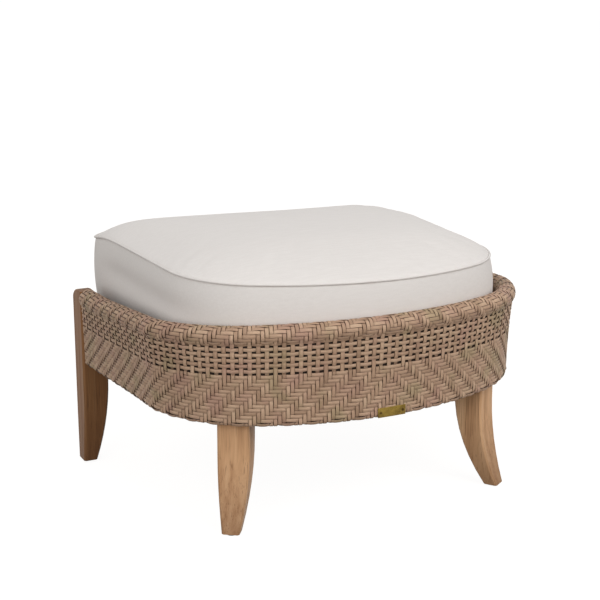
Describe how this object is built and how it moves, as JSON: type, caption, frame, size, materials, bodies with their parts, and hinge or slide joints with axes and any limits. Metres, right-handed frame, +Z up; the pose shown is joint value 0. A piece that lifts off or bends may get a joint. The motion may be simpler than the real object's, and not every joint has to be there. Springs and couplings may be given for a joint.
{
  "type": "outdoor ottoman",
  "caption": "Low bow-fronted footstool for a patio: woven resin band on a metal frame, sabre front legs, straight back legs and a loose box cushion.",
  "frame": {"origin": "on the ground under the middle of the plan box", "axes": "+X to the right seen from the front, +Y to the open back, +Z up; the bowed front faces -Y"},
  "size_m": [0.7544, 0.5924, 0.4475],
  "materials": {
    "woven_resin": "flat resin strands in taupe browns, fine ribs along each strand, low sheen",
    "teak": "oiled teak with straight grain and eased edges",
    "deck_webbing": "woven polyester webbing, dark brown",
    "cushion_fabric": "off-white outdoor weave, matt",
    "foam": "open-cell foam",
    "aged_brass": "blank plate, brushed and slightly tarnished",
    "zip_tape": "light zip tape with moulded teeth",
    "stainless": "stainless fasteners",
    "glide_nylon": "black nylon",
    "frame_aluminium": "powder-coated aluminium, bronze brown"
  },
  "bodies": {
    "frame": {"back_apron": "woven_resin", "back_left_glide": "glide_nylon", "back_left_leg": "teak", "back_left_leg_bolt_1": "stainless", "back_left_leg_bolt_2": "stainless", "back_left_leg_plate": "frame_aluminium", "back_left_rail_screw_1": "stainless", "back_left_rail_screw_2": "stainless", "back_left_rail_tab": "frame_aluminium", "back_rail": "frame_aluminium", "back_right_glide": "glide_nylon", "back_right_leg": "teak", "back_right_leg_bolt_1": "stainless", "back_right_leg_bolt_2": "stainless", "back_right_leg_plate": "frame_aluminium", "back_right_rail_screw_1": "stainless", "back_right_rail_screw_2": "stainless", "back_right_rail_tab": "frame_aluminium", "brass_plate": "aged_brass", "deck_strap_cross_1": "deck_webbing", "deck_strap_cross_2": "deck_webbing", "deck_strap_cross_3": "deck_webbing", "deck_strap_cross_4": "deck_webbing", "deck_strap_long_1": "deck_webbing", "deck_strap_long_2": "deck_webbing", "deck_strap_long_3": "deck_webbing", "deck_strap_long_4": "deck_webbing", "deck_strap_long_5": "deck_webbing", "deck_strap_long_6": "deck_webbing", "front_left_glide": "glide_nylon", "front_left_leg": "teak", "front_left_leg_bolt_1": "stainless", "front_left_leg_bolt_2": "stainless", "front_left_leg_plate": "frame_aluminium", "front_right_glide": "glide_nylon", "front_right_leg": "teak", "front_right_leg_bolt_1": "stainless", "front_right_leg_bolt_2": "stainless", "front_right_leg_plate": "frame_aluminium", "hem_tube": "frame_aluminium", "open_weave": "woven_resin", "rim_roll": "woven_resin", "rim_tube": "frame_aluminium", "seat_rail": "frame_aluminium", "twill_skirt": "woven_resin", "upright_left_1": "frame_aluminium", "upright_left_2": "frame_aluminium", "upright_left_3": "frame_aluminium", "upright_right_1": "frame_aluminium", "upright_right_2": "frame_aluminium", "upright_right_3": "frame_aluminium"},
    "cushion": {"cushion_cover": "cushion_fabric", "cushion_core": "foam", "cushion_welt_top": "cushion_fabric", "cushion_welt_bottom": "cushion_fabric", "zip_tape": "zip_tape"},
    "zip_slider": {"zip_slider": "stainless"},
    "zip_pull": {"zip_pull": "stainless"}
  },
  "joints": [
    {"name": "cushion_lift", "type": "slide", "parent": "frame", "child": "cushion", "axis": [0, 0, 1], "range_m": [0, 0.2]},
    {"name": "zip_run", "type": "slide", "parent": "cushion", "child": "zip_slider", "axis": [-1, 0, 0], "range_m": [0, 0.35]},
    {"name": "zip_pull_swing", "type": "hinge", "parent": "zip_slider", "child": "zip_pull", "pos_m": [0.176, 0.29537, 0.3544], "axis": [1, 0, 0], "range_deg": [0, 90]}
  ]
}
